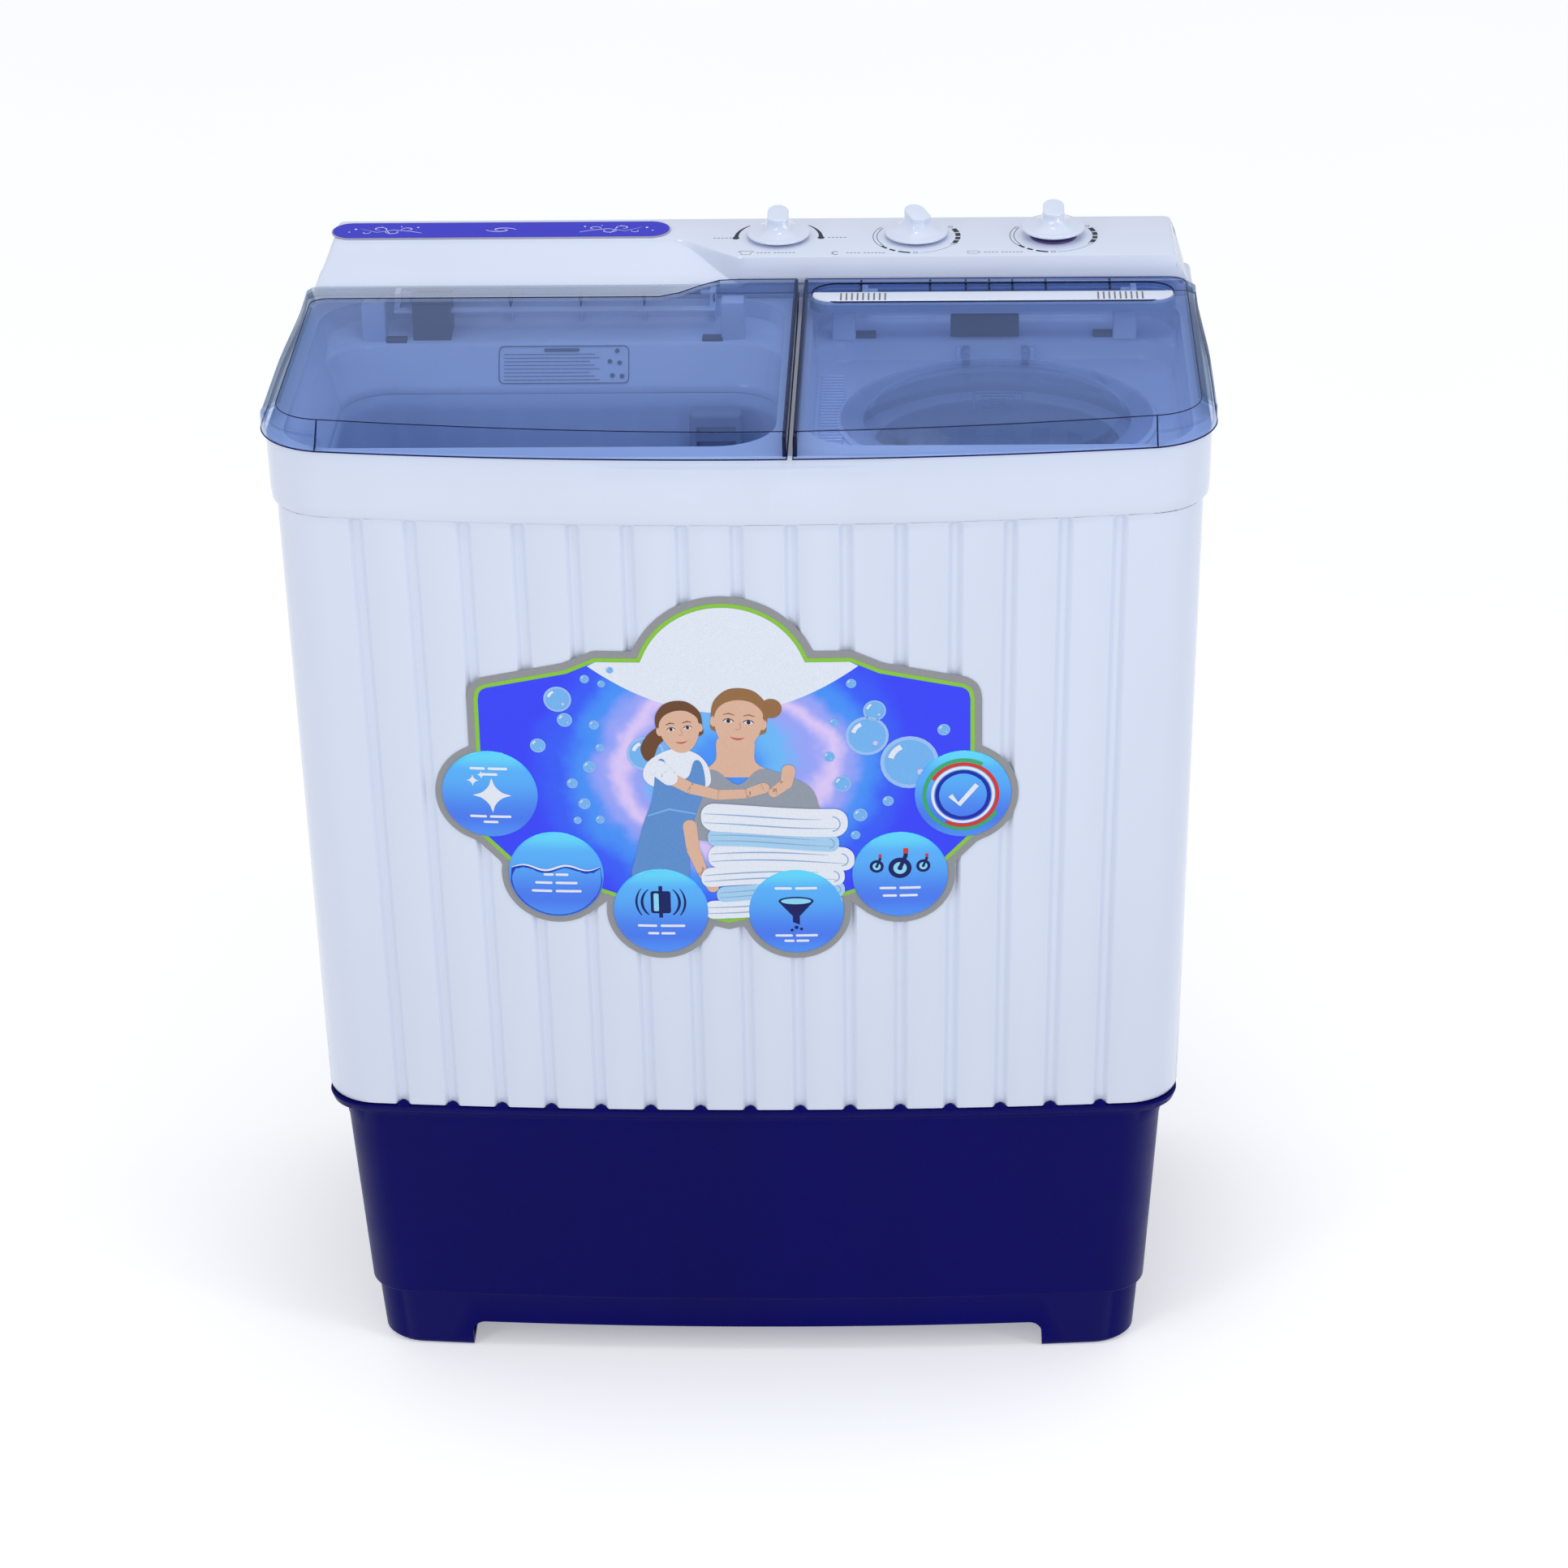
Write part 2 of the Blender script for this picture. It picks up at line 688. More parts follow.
def lid_shell(name, side, finish):
    """A dished lid: a ledge, a chamfer and a raised top, all one sheet."""
    sheet = LID_SHEET
    return tube_free(
        name,
        [
            lid_plan(side, LID_EDGE_Z, 0.0, 0.0, 0.0, 0.0),
            lid_plan(side, 0.8405, 0.0006, 0.0006, 0.0, 0.0),
            lid_plan(side, LID_TOP_Z, 0.0120, 0.0110, 0.0012, 0.0015),
        ],
        [
            lid_plan(side, LID_TOP_Z - sheet, 0.0130, 0.0125, sheet, sheet),
            lid_plan(side, 0.8390, sheet + 0.0006, sheet + 0.0006, sheet, sheet),
            lid_plan(side, LID_EDGE_Z, sheet, sheet, sheet, sheet),
        ],
        finish,
    )


def tube_free(name, outer, inner, finish):
    """A dish: outer rings up to a capped top, then inner rings down to the open edge."""
    bm = bmesh.new()
    outside = [ring_of(bm, ring) for ring in outer]
    inside = [ring_of(bm, ring) for ring in inner]
    for low, high in zip(outside, outside[1:]):
        skin(bm, low, high)
    for low, high in zip(inside, inside[1:]):
        skin(bm, low, high)
    skin(bm, inside[-1], outside[0])
    bm.faces.new(outside[-1])
    bm.faces.new(inside[0])
    return finished(name, bm, finish)


LID_EARS = {"wash_lid": (-0.290, -0.030), "spin_lid": (0.095, 0.315)}


def add_hinge_lugs(lid, name):
    """Notches in the back skirt, and a drilled lug beside each hinge ear."""
    notches, lugs, bores = [], [], []
    for i, x in enumerate(LID_EARS[name]):
        inward = 1 if i == 0 else -1
        near, far = sorted((x + inward * 0.0032, x + inward * 0.0092))
        lugs.append(block(f"{name}_lug_{i}", (near, 0.1178, 0.8342), (far, 0.1272, LID_TOP_Z - 0.001)))
        bores.append(
            rod_along(
                f"{name}_lug_bore_{i}",
                (near - 0.002, HINGE_Y, HINGE_Z),
                (far + 0.002, HINGE_Y, HINGE_Z),
                HINGE_PIN_R + 0.0006,
            ),
        )
        notches.append(block(f"{name}_notch_{i}", (x - 0.011, 0.1150, 0.82), (x + 0.011, 0.1330, 0.8435)))
    back_edge = block(f"{name}_back_trim", (-0.4, 0.1180, 0.82), (0.4, 0.14, 0.8345))
    cut(lid, back_edge, *notches)
    join(lid, *lugs)
    return cut(lid, *bores)


def make_hinge(name, lid_name, finish):
    """Two ears with inward pins, on one strip that is fixed to the top frame."""
    left, right = LID_EARS[lid_name]
    strip = block(name, (left - 0.0025, 0.0995, RIM_Z + GAP), (right + 0.0025, 0.1095, 0.8315), finish)
    pieces = []
    for i, (x, inward) in enumerate(((left, 1), (right, -1))):
        pieces.append(
            block(f"{name}_foot_{i}", (x - 0.0025, 0.1050, RIM_Z + GAP), (x + 0.0025, 0.1265, 0.8350)),
        )
        pieces.append(block(f"{name}_ear_{i}", (x - 0.0025, 0.1115, 0.8310), (x + 0.0025, 0.1265, 0.8425)))
        pieces.append(
            rod_along(
                f"{name}_pin_{i}",
                (x, HINGE_Y, HINGE_Z),
                (x + inward * 0.0105, HINGE_Y, HINGE_Z),
                HINGE_PIN_R,
            ),
        )
    return join(strip, *pieces)


def make_lids(parts, mats):
    wash = lid_shell("wash_lid", -1, mats["tint"])
    parts.append(add_hinge_lugs(wash, "wash_lid"))
    spin = lid_shell("spin_lid", 1, mats["tint"])
    pocket_wall = loft(
        "pocket_wall",
        [
            at_height(rounded_rect((0.0550, 0.3400), (0.0720, 0.1100), 0.0185, 5), 0.8365),
            at_height(rounded_rect((0.0550, 0.3400), (0.0720, 0.1100), 0.0185, 5), LID_TOP_Z - 0.001),
        ],
        None,
    )
    pocket = loft(
        "pocket_hollow",
        [
            at_height(rounded_rect((0.0570, 0.3380), (0.0740, 0.1080), 0.0165, 5), 0.8385),
            at_height(rounded_rect((0.0570, 0.3380), (0.0740, 0.1080), 0.0165, 5), LID_TOP_Z + 0.01),
        ],
        None,
    )
    join(spin, pocket_wall)
    cut(spin, pocket)
    parts.append(add_hinge_lugs(spin, "spin_lid"))
    bar = block(
        "spin_lid_handle",
        (0.0650, 0.0775, 0.8388),
        (0.3300, 0.0890, 0.8475),
        mats["white"],
        0.0010,
    )
    ribs = [
        block(
            f"handle_rib_{side}_{i}",
            (x + 0.0040 * i, 0.0785, 0.8470),
            (x + 0.0040 * i + 0.0016, 0.0880, 0.8481),
        )
        for side, x in enumerate((0.0760, 0.2860))
        for i in range(9)
    ]
    parts.append(join(bar, *ribs))
    parts.append(make_hinge("wash_lid_hinge", "wash_lid", mats["white"]))
    parts.append(make_hinge("spin_lid_hinge", "spin_lid", mats["white"]))


# ---------------------------------------------------------------- badge
BADGE_X, BADGE_Z = -0.0132, 0.550
MEDALLIONS = ((0.187, 0.537), (0.137, 0.466), (0.054, 0.434))
MEDALLION_BORDER = 0.0437


def badge_polygon():
    """The right half of the plate without its medallions, from the dome's top down, about BADGE_X."""
    dome_r, dome_z = 0.0759, 0.6356
    top = [
        (dome_r * math.sin(math.radians(a)), dome_z + dome_r * math.cos(math.radians(a)))
        for a in range(0, 69, 8)
    ]
    shoulder = [(0.0860, 0.6635), (0.1010, 0.6640), (0.1130, 0.6560), (0.1890, 0.6390)]
    corner = [(0.1970, 0.6330), (0.2020, 0.6200)]
    return top + shoulder + corner + [(0.2020, 0.5000), (0.1750, 0.4720), (0.0900, 0.4420), (0.0, 0.4170)]


def ray_reach(angle):
    """How far the plate reaches from its middle along a ray: the plate's outline joined with six discs."""
    ux, uz = math.cos(angle), math.sin(angle)
    right = [(x, z - BADGE_Z) for x, z in badge_polygon()]
    outline = right + [(-x, z) for x, z in right[-2:0:-1]]
    reach = 0.0
    for (x0, z0), (x1, z1) in zip(outline, outline[1:] + outline[:1]):
        dx, dz = x1 - x0, z1 - z0
        cross = ux * dz - uz * dx
        if abs(cross) < 1e-12:
            continue
        distance = (x0 * dz - z0 * dx) / cross
        along = (x0 * uz - z0 * ux) / cross
        if distance > 0 and -1e-9 <= along <= 1 + 1e-9:
            reach = max(reach, distance)
    for x, z in MEDALLIONS:
        for side in (-1, 1):
            cx, cz = side * x, z - BADGE_Z
            middle = cx * ux + cz * uz
            under = MEDALLION_BORDER**2 - (cx**2 + cz**2 - middle**2)
            if under > 0:
                reach = max(reach, middle + math.sqrt(under))
    return reach


def make_badge(finish):
    """A thin printed plate that follows the bowed front."""
    count = 84
    bm = bmesh.new()
    rim = []
    for i in range(count):
        angle = math.tau * i / count
        reach = ray_reach(angle)
        rim.append(bm.verts.new((BADGE_X + reach * math.cos(angle), 0, BADGE_Z + reach * math.sin(angle))))
    bm.faces.new(rim)
    for i in range(-4, 6):
        geometry = bm.verts[:] + bm.edges[:] + bm.faces[:]
        bmesh.ops.bisect_plane(bm, geom=geometry, plane_co=(0.045 * i - 0.02, 0, 0), plane_no=(1, 0, 0))
    thick = bmesh.ops.extrude_face_region(bm, geom=bm.faces[:])
    front_side = {vert for vert in thick["geom"] if isinstance(vert, bmesh.types.BMVert)}
    for vert in bm.verts:
        lift = 0.0012 if vert in front_side else 0.0004
        vert.co.y = cabinet_front(vert.co.x, vert.co.z) - lift
    return finished("front_badge", bm, finish)


# ---------------------------------------------------------------- wash side
def rect_ring(x, y, radius, z):
    return at_height(rounded_rect(x, y, radius, 4), z)


def make_wash_tub(finish):
    tub = tube_free_up(
        "wash_tub",
        [
            rect_ring((-0.3130, 0.0080), (-0.1680, 0.0530), 0.058, WASH_FLOOR_Z),
            rect_ring((-0.3180, 0.0130), (-0.1730, 0.0570), 0.060, WASH_FLOOR_Z + 0.010),
            rect_ring(
                (WASH_X[0] - WALL, WASH_X[1] + WALL),
                (WASH_Y[0] - WALL, WASH_Y[1] + WALL),
                0.043,
                WASH_MOUTH_Z,
            ),
        ],
        [
            rect_ring(WASH_X, WASH_Y, 0.040, WASH_MOUTH_Z),
            rect_ring((-0.3150, 0.0100), (-0.1700, 0.0540), 0.057, WASH_FLOOR_Z + 0.012),
            rect_ring((-0.3100, 0.0050), (-0.1650, 0.0500), 0.055, WASH_FLOOR_Z + 0.005),
        ],
        finish,
    )
    shaft = cylinder("tub_shaft_hole", WASH_AXIS, 0.0095, 0.33, 0.35, None, 16)
    drain = cylinder("tub_drain_hole", DRAIN_AXIS, 0.0150, 0.33, 0.35, None, 16)
    return cut(tub, shaft, drain)


def tube_free_up(name, outer, inner, finish):
    """A bucket: a capped floor, outer rings up to the mouth, inner rings down to the inner floor."""
    bm = bmesh.new()
    rings = [ring_of(bm, ring) for ring in outer + inner]
    for low, high in zip(rings, rings[1:]):
        skin(bm, low, high)
    bm.faces.new(rings[0])
    bm.faces.new(rings[-1])
    return finished(name, bm, finish)


def make_pulsator(parts, mats):
    """The ribbed disc on the tub's floor, its shaft, bearing and pulley."""
    disc = turned(
        "pulsator",
        [
            (0, 0.3500), (0.0900, 0.3500), (0.0950, 0.3530), (0.0930, 0.3570), (0.0500, 0.3620),
            (0.0200, 0.3700), (0, 0.3720),
        ],
        WASH_AXIS,
        mats["white"],
        20,
    )
    vanes = []
    for i in range(6):
        vane = block(f"vane_{i}", (0.018, -0.0035, 0.3560), (0.088, 0.0035, 0.3760), None, 0.0015)
        vane.matrix_world = Matrix.Translation((*WASH_AXIS, 0)) @ Matrix.Rotation(
            math.tau * i / 6 + 0.26,
            4,
            "Z",
        )
        vanes.append(vane)
    join(disc, *vanes)
    parts.append(cut(disc, cylinder("pulsator_bore", WASH_AXIS, 0.0084, 0.34, 0.3585, None, 16)))
    parts.append(cylinder("pulsator_shaft", WASH_AXIS, 0.0080, 0.1520, 0.3575, mats["steel"], 16))
    bearing = [
        (0.0086, 0.2620),
        (0.0280, 0.2620),
        (0.0300, 0.3280),
        (0.0450, 0.3320),
        (0.0450, 0.3375),
        (0.0086, 0.3375),
    ]
    parts.append(turned("pulsator_bearing", bearing, WASH_AXIS, mats["black"], 16))
    parts.append(turned("pulsator_pulley", pulley_profile(PULLEY_R, 0.0084), WASH_AXIS, mats["cast"], 20))


def pulley_profile(radius, bore):
    """A grooved rim on a thin web and a hub; a small pulley is solid between rim and hub."""
    low, high = PULLEY_Z, PULLEY_Z + 0.014
    rim = [(radius, low), (radius, low + 0.0024), (radius - GROOVE, low + 0.0024)]
    rim += [(radius - GROOVE, high - 0.0024), (radius, high - 0.0024), (radius, high)]
    if radius < 0.03:
        return [(bore, low), *rim, (bore, high)]
    rim_in, hub = radius - 0.0120, 0.0180
    web_low, web_high = low + 0.005, low + 0.009
    inner = [(rim_in, high), (rim_in, web_high), (hub, web_high), (hub, high + 0.004), (bore, high + 0.004)]
    outer = [(bore, low - 0.004), (hub, low - 0.004), (hub, web_low), (rim_in, web_low), (rim_in, low)]
    return outer + rim + inner


def motor_can(name, centre, radius, cavity, low, high, hole, finish):
    """A can with a round cavity that is open through its shaft hole at both ends."""
    profile = [
        (hole, low),
        (radius, low),
        (radius, high),
        (hole, high),
        (hole, high - 0.004),
        (cavity, high - 0.004),
        (cavity, low + 0.004),
        (hole, low + 0.004),
    ]
    return turned(name, profile, centre, finish, 20)


def make_wash_drive(parts, mats):
    parts.append(
        motor_can("wash_motor_stator", MOTOR_AXIS, 0.0560, 0.0400, 0.1960, 0.2800, 0.0100, mats["motor"]),
    )
    rotor = [
        (0, 0.1600), (0.0060, 0.1600), (0.0060, 0.2060), (0.0390, 0.2060), (0.0390, 0.2700),
        (0.0060, 0.2700), (0.0060, 0.2790), (0, 0.2790),
    ]
    parts.append(turned("wash_motor_rotor", rotor, MOTOR_AXIS, mats["steel"], 16))
    parts.append(
        turned("motor_pulley", pulley_profile(MOTOR_PULLEY_R, 0.0064), MOTOR_AXIS, mats["cast"], 14),
    )
    x, y = MOTOR_AXIS
    plate = block(
        "wash_motor_bracket",
        (x - 0.050, y - 0.030, 0.2803),
        (x + 0.050, y + 0.030, 0.2833),
        mats["steel"],
    )
    legs = [
        block(
            f"bracket_leg_{i}",
            (x + side * 0.0485 - 0.0015, y - 0.030, 0.2810),
            (x + side * 0.0485 + 0.0015, y - 0.022, 0.3376),
        )
        for i, side in enumerate((-1, 1))
    ]
    parts.append(join(plate, *legs))
    parts.append(make_belt(mats["rubber"]))


def make_belt(finish):
    """The belt: the outline around both pulleys, with a thickness that stands in their grooves."""
    ax, ay = WASH_AXIS
    bx, by = MOTOR_AXIS
    span = math.hypot(bx - ax, by - ay)
    heading = math.degrees(math.atan2(by - ay, bx - ax))

    def path(offset):
        big, small = PULLEY_R - GROOVE + offset, MOTOR_PULLEY_R - GROOVE + offset
        lean = math.degrees(math.acos((big - small) / span))
        return arc(bx, by, small, heading - lean, heading + lean, 8) + arc(
            ax, ay, big, heading + lean, heading + 360 - lean, 24
        )

    low, high = PULLEY_Z + 0.0032, PULLEY_Z + 0.0108
    inner, outer = path(0.0005), path(0.0062)
    return tube_loft(
        "drive_belt",
        [at_height(outer, low), at_height(outer, high), at_height(inner, high), at_height(inner, low)],
        finish,
    )


def make_drain(parts, mats):
    """A valve chamber under the drain hole, its plunger, and the pipe that leaves at the back."""
    x, y = DRAIN_AXIS
    chamber = [
        (0.0060, 0.2620),
        (0.0240, 0.2620),
        (0.0240, 0.3375),
        (0.0190, 0.3375),
        (0.0190, 0.2680),
        (0.0060, 0.2680),
    ]
    body = turned("drain_valve_body", chamber, DRAIN_AXIS, mats["grey"], 16)
    parts.append(cut(body, rod_along("drain_outlet", (x, y, 0.290), (x, y + 0.03, 0.290), 0.0100)))
    plunger = [
        (0, 0.2480),
        (0.0050, 0.2480),
        (0.0050, 0.3240),
        (0.0160, 0.3270),
        (0.0160, 0.3340),
        (0, 0.3340),
    ]
    parts.append(turned("drain_valve_plunger", plunger, DRAIN_AXIS, mats["rubber"], 14))
    route = [
        (0.0405, 0.290), (0.075, 0.290), (0.120, 0.282), (0.155, 0.255), (0.175, 0.205), (0.188, 0.165),
        (0.205, 0.150), (0.2262, 0.150),
    ]
    curve = bpy.data.curves.new("drain_pipe", "CURVE")
    curve.dimensions = "3D"
    curve.bevel_depth = 0.0115
    curve.bevel_resolution = 2
    curve.use_fill_caps = True
    line = curve.splines.new("POLY")
    line.points.add(len(route) - 1)
    for point, (py, pz) in zip(line.points, route):
        point.co = (x, py, pz, 1)
    parts.append(add("drain_pipe", curve, mats["grey"]))


def make_wash_fittings(parts, mats):
    spout = block("wash_spout", (-0.2780, 0.0600, 0.7965), (-0.2420, 0.0755, 0.8200), mats["grey"], 0.003)
    neck = block("spout_neck", (-0.2750, 0.0650, 0.8170), (-0.2450, 0.0890, 0.8230))
    parts.append(join(spout, neck))
    parts.append(
        block("lint_filter", (-0.0540, 0.0310, 0.5500), (-0.0100, 0.0510, 0.7660), mats["grey"], 0.004),
    )
    parts.append(
        cylinder("motor_capacitor", (0.0050, 0.1500), 0.0200, DECK_TOP + GAP, 0.1500, mats["black"], 20),
    )


# ---------------------------------------------------------------- spin side
def make_spin_tub(finish):
    r = SPIN_TUB_R
    profile = [
        (0.0200, 0.3050), (r - 0.006, 0.3050), (r, 0.3110), (r, 0.7835), (r - WALL, 0.7835),
        (r - WALL, 0.3130), (r - 0.008, 0.3085), (0.0200, 0.3085),
    ]
    return turned("spin_outer_tub", profile, SPIN_AXIS, finish, 24)


def make_basket(finish):
    """The drilled basket, with a rolled lip and a raised middle that sits on the shaft."""
    steps, thick, rows = 20, 0.0025, 3
    levels = [BASKET_Z + 0.012 + (0.400 / (rows * 2)) * i for i in range(rows * 2 + 1)]
    outer = [
        (0.0088, BASKET_Z),
        (0.1000, BASKET_Z),
        *[(BASKET_R, z) for z in levels],
        (BASKET_R, BASKET_TOP),
        (0.0980, BASKET_TOP),
    ]
    inner = [(0.0980, BASKET_TOP - thick), (BASKET_R - thick, BASKET_TOP - thick - 0.004)]
    inner += [(BASKET_R - thick, z) for z in reversed(levels)]
    inner += [(0.0985, BASKET_Z + thick), (0.0400, BASKET_Z + thick), (0.0220, 0.3600), (0.0088, 0.3600)]
    profile = outer + inner
    bm = bmesh.new()
    cx, cy = SPIN_AXIS
    rings = []
    for r, z in profile:
        ring = [
            (cx + r * math.cos(math.tau * i / steps), cy + r * math.sin(math.tau * i / steps), z)
            for i in range(steps)
        ]
        rings.append(ring_of(bm, ring))
    grid = []
    for low, high in zip(rings, rings[1:] + rings[:1]):
        strip = []
        for i in range(steps):
            j = (i + 1) % steps
            strip.append(bm.faces.new((low[i], low[j], high[j], high[i])))
        grid.append(strip)
    first_out = 2
    first_in = len(outer) + 2
    spans = len(levels) - 1
    for row in range(0, spans, 2):
        for column in range(row % 4 // 2, steps, 2):
            drill(bm, grid[first_out + row][column], grid[first_in + spans - 1 - row][column])
    return finished("spin_basket", bm, finish)


def drill(bm, outer_face, inner_face):
    """A square hole between two facing wall panels."""
    loops = []
    for face in (outer_face, inner_face):
        bmesh.ops.inset_individual(bm, faces=[face], thickness=0.009, use_even_offset=True)
        loops.append(list(face.edges))
    bmesh.ops.delete(bm, geom=[outer_face, inner_face], context="FACES_ONLY")
    bmesh.ops.bridge_loops(bm, edges=loops[0] + loops[1])


def make_spin_cover(parts, mats):
    """The seat ring in the spin deck, with two ears, and the clear inner cover on them."""
    ring = turned(
        "spin_seat_ring",
        [
            (0.1060, 0.7905), (0.1060, 0.7922), (0.1280, 0.7922), (0.1280, SPIN_DECK_Z + GAP),
            (0.1215, SPIN_DECK_Z + GAP), (0.1215, 0.7765), (0.1180, 0.7765), (0.1180, 0.7905),
        ],
        SPIN_AXIS,
        mats["white"],
        28,
    )
    cx = SPIN_AXIS[0]
    extras = []
    for i, side in enumerate((-1, 1)):
        x = cx + side * 0.0300
        extras.append(
            block(f"ring_foot_{i}", (x - 0.004, 0.0700, SPIN_DECK_Z + GAP), (x + 0.004, 0.0930, 0.7920)),
        )
        extras.append(block(f"ring_ear_{i}", (x - 0.002, 0.0855, 0.7910), (x + 0.002, 0.0920, 0.8010)))
        extras.append(
            rod_along(
                f"ring_pin_{i}",
                (x, COVER_HINGE_Y, COVER_HINGE_Z),
                (x - side * 0.008, COVER_HINGE_Y, COVER_HINGE_Z),
                0.0016,
                None,
                8,
            ),
        )
    parts.append(join(ring, *extras))
    cover = turned(
        "spin_inner_cover",
        [
            (0, 0.7962), (0.1080, 0.7962), (0.1120, 0.7930), (0.1240, 0.7930), (0.1240, 0.7950),
            (0.1130, 0.7952), (0.1090, 0.7984), (0, 0.7990),
        ],
        SPIN_AXIS,
        mats["clear"],
        28,
    )
    tabs, bores = [], []
    for i, side in enumerate((-1, 1)):
        near, far = sorted((cx + side * 0.0210, cx + side * 0.0268))
        tabs.append(block(f"cover_tab_{i}", (near, 0.0700, 0.7940), (far, 0.0920, 0.8005)))
        bores.append(
            rod_along(
                f"cover_tab_bore_{i}",
                (near - 0.002, COVER_HINGE_Y, COVER_HINGE_Z),
                (far + 0.002, COVER_HINGE_Y, COVER_HINGE_Z),
                0.0021,
                None,
                8,
            ),
        )
    join(cover, *tabs)
    parts.append(cut(cover, *bores))


def spring_coil(name, centre, low, high, finish):
    """A three-turn compression spring as one swept bar."""
    turns, around, sides = 3, 9, 4
    radius, wire = 0.0105, 0.0016
    bm = bmesh.new()
    rings = []
    total = turns * around
    for i in range(total + 1):
        angle = math.tau * i / around
        z = low + wire + (high - low - 2 * wire) * i / total
        middle = Vector((centre[0] + radius * math.cos(angle), centre[1] + radius * math.sin(angle), z))
        out = Vector((math.cos(angle), math.sin(angle), 0))
        ring = []
        for k in range(sides):
            a = math.tau * k / sides
            ring.append(middle + out * wire * math.cos(a) + Vector((0, 0, wire * math.sin(a))))
        rings.append(ring_of(bm, ring))
    for first, second in zip(rings, rings[1:]):
        skin(bm, first, second)
    bm.faces.new(rings[0])
    bm.faces.new(rings[-1])
    return finished(name, bm, finish)


def make_spin_drive(parts, mats):
    x, y = SPIN_AXIS
    parts.append(cylinder("spin_shaft", SPIN_AXIS, 0.0080, 0.1190, 0.3560, mats["steel"], 16))
    seal = [
        (0.0086, 0.2960), (0.0150, 0.2960), (0.0190, 0.3000), (0.0160, 0.3040), (0.0190, 0.3080),
        (0.0150, 0.3160), (0.0086, 0.3190),
    ]
    parts.append(turned("spin_shaft_seal", seal, SPIN_AXIS, mats["rubber"], 14))
    drum = [
        (0.0084, 0.2280), (0.0200, 0.2280), (0.0200, 0.2330), (DRUM_R, 0.2330), (DRUM_R, 0.2550),
        (0.0440, 0.2550), (0.0440, 0.2380), (0.0200, 0.2380), (0.0200, 0.2620), (0.0084, 0.2620),
    ]
    parts.append(turned("brake_drum", drum, SPIN_AXIS, mats["cast"], 18))
    parts.append(
        motor_can("spin_motor_stator", SPIN_AXIS, 0.0600, 0.0420, 0.1125, 0.2050, 0.0100, mats["motor"]),
    )
    rotor = [(0.0084, 0.1250), (0.0400, 0.1250), (0.0400, 0.1920), (0.0084, 0.1920)]
    parts.append(turned("spin_motor_rotor", rotor, SPIN_AXIS, mats["steel"], 16))
    plate = turned(
        "spin_motor_plate",
        [(0.0120, 0.1080), (0.0670, 0.1080), (0.0670, 0.1122), (0.0120, 0.1122)],
        SPIN_AXIS,
        mats["steel"],
        16,
    )
    parts.append(plate)
    for i in range(3):
        angle = math.radians(90 + 120 * i)
        place = (x + 0.050 * math.cos(angle), y + 0.050 * math.sin(angle))
        parts.append(
            spring_coil(f"motor_spring_{i + 1}", place, DECK_TOP + GAP, 0.1080 - GAP, mats["steel"]),
        )
    px, py = x + 0.065, y - 0.040
    parts.append(cylinder("brake_post", (px, py), 0.0060, DECK_TOP + GAP, 0.2560, mats["steel"], 16))
    lever = block(
        "brake_lever",
        (px - 0.0095, py - 0.030, 0.2380),
        (px + 0.0095, py + 0.034, 0.2460),
        mats["steel"],
    )
    pad = block("brake_pad", (x + DRUM_R + 0.0042, y - 0.016, 0.2360), (px - 0.004, y + 0.014, 0.2500))
    join(lever, pad)
    parts.append(cut(lever, cylinder("brake_bore", (px, py), 0.0066, 0.22, 0.27, None, 16)))
    parts.append(
        block("spin_spout", (0.1650, 0.0900, 0.8030), (0.2210, 0.0945, 0.8225), mats["grey"], 0.001),
    )


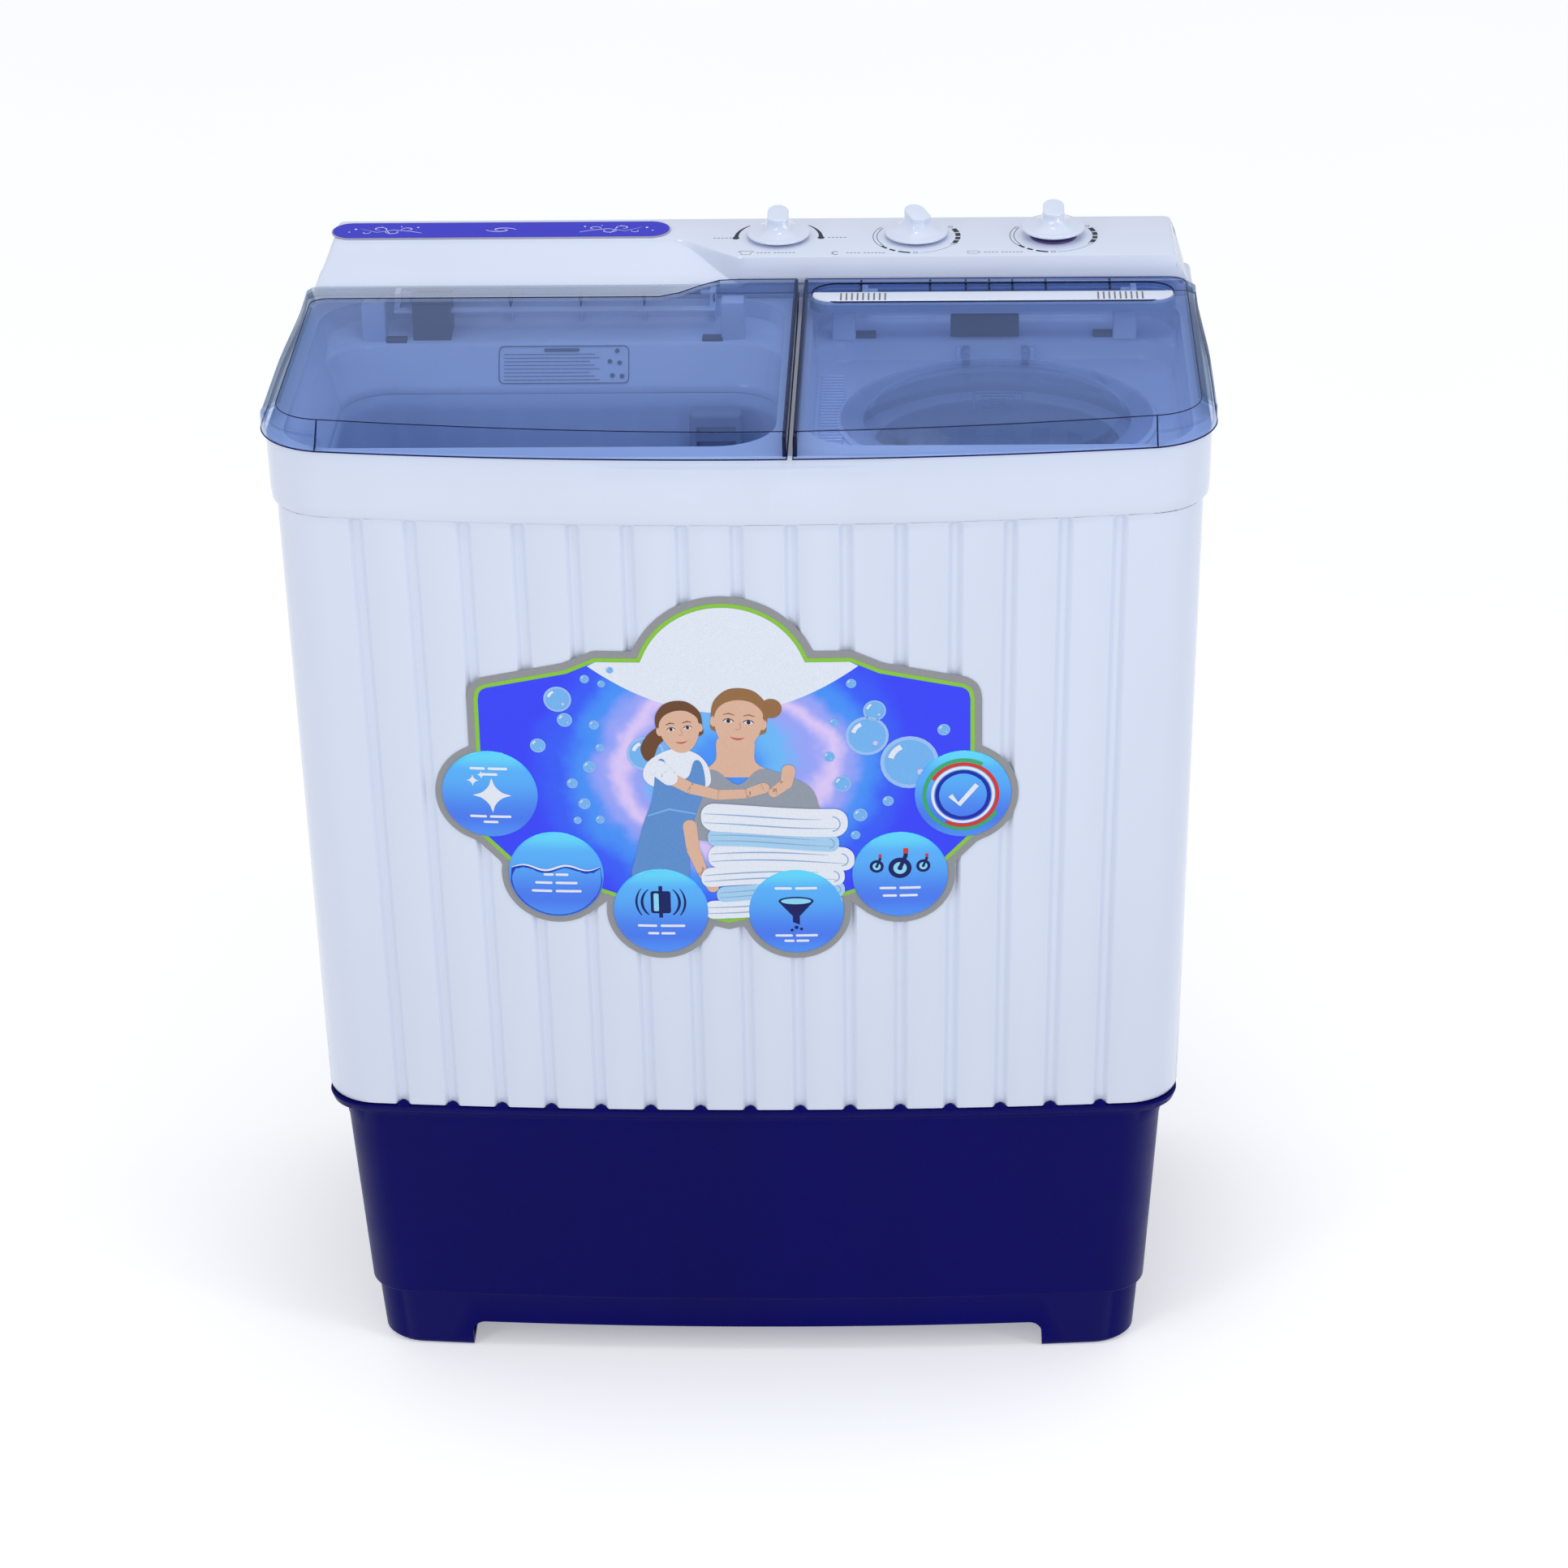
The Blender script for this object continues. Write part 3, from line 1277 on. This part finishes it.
# ---------------------------------------------------------------- castors and small fittings
def make_castors(parts, mats):
    for side, word in ((-1, "left"), (1, "right")):
        x = side * CASTOR_X
        axle_y = CASTOR_Y + CASTOR_TRAIL
        fork = block(
            f"castor_fork_{word}",
            (x - 0.0125, CASTOR_Y - 0.014, 0.0480),
            (x + 0.0125, axle_y + 0.008, 0.0510),
            mats["steel"],
        )
        pieces = [cylinder(f"{word}_stem", (x, CASTOR_Y), 0.0042, 0.0500, 0.0768, None, 12)]
        pieces.append(cylinder(f"{word}_race", (x, CASTOR_Y), 0.0130, 0.0505, 0.0560, None, 16))
        for k, arm in enumerate((-1, 1)):
            inner, outer = sorted((x + arm * 0.0100, x + arm * 0.0125))
            pieces.append(
                block(f"{word}_arm_{k}", (inner, axle_y - 0.008, 0.0145), (outer, axle_y + 0.008, 0.0500)),
            )
        join(fork, *pieces)
        bore = rod_along(
            f"{word}_axle_bore",
            (x - 0.02, axle_y, CASTOR_AXLE_Z),
            (x + 0.02, axle_y, CASTOR_AXLE_Z),
            0.0036,
        )
        parts.append(cut(fork, bore))
        wheel = rod_along(
            f"castor_wheel_{word}",
            (x - 0.0085, axle_y, CASTOR_AXLE_Z),
            (x + 0.0085, axle_y, CASTOR_AXLE_Z),
            CASTOR_R,
            mats["black"],
            24,
        )
        axle = rod_along(
            f"{word}_axle",
            (x - 0.0135, axle_y, CASTOR_AXLE_Z),
            (x + 0.0135, axle_y, CASTOR_AXLE_Z),
            0.0030,
        )
        parts.append(join(wheel, axle))


def make_gland(finish):
    gland = rod_along(
        "cable_gland",
        (0.290, 0.2050, 0.270),
        (0.290, CABINET_BACK + 0.0060, 0.270),
        0.0090,
        finish,
        16,
    )
    flange = rod_along(
        "gland_flange",
        (0.290, CABINET_BACK + GAP, 0.270),
        (0.290, CABINET_BACK + 0.0030, 0.270),
        0.0130,
        None,
        16,
    )
    bore = rod_along("gland_bore", (0.290, 0.19, 0.270), (0.290, 0.24, 0.270), 0.0042, None, 12)
    join(gland, flange)
    return cut(gland, bore)


# ---------------------------------------------------------------- the whole washer
def build():
    clear_scene()
    mats = make_materials()
    parts = [make_base(mats["navy"]), make_cabinet(mats["white"]), make_top_frame(mats["white"])]
    make_rear_cover(parts, mats["white"], mats["steel"])
    parts.append(make_panel(mats["white"]))
    parts.append(make_label(mats["label"]))
    parts.append(make_inlet(mats["grey"]))
    names = ("selector_knob", "wash_timer_knob", "spin_timer_knob")
    for name, x, turn, lift in zip(names, KNOB_X, (0, 28, 0), (0.0, 0.0, SPIN_KNOB_LIFT)):
        parts.append(make_knob(name, x, turn, lift, mats["white"]))
    sizes = ((0.032, 0.034, 0.024), (0.050, 0.042, 0.030), (0.050, 0.042, 0.030))
    for name, x, size in zip(("selector_switch", "wash_timer", "spin_timer"), KNOB_X, sizes):
        parts.append(make_switch(name, x, size, mats["grey"]))
    make_lids(parts, mats)
    parts.append(make_badge(mats["badge"]))
    parts.append(make_wash_tub(mats["tub"]))
    make_pulsator(parts, mats)
    make_wash_drive(parts, mats)
    make_drain(parts, mats)
    make_wash_fittings(parts, mats)
    parts.append(make_spin_tub(mats["tub"]))
    parts.append(make_basket(mats["tub"]))
    make_spin_cover(parts, mats)
    make_spin_drive(parts, mats)
    make_castors(parts, mats)
    parts.append(make_gland(mats["black"]))
    return parts


build()
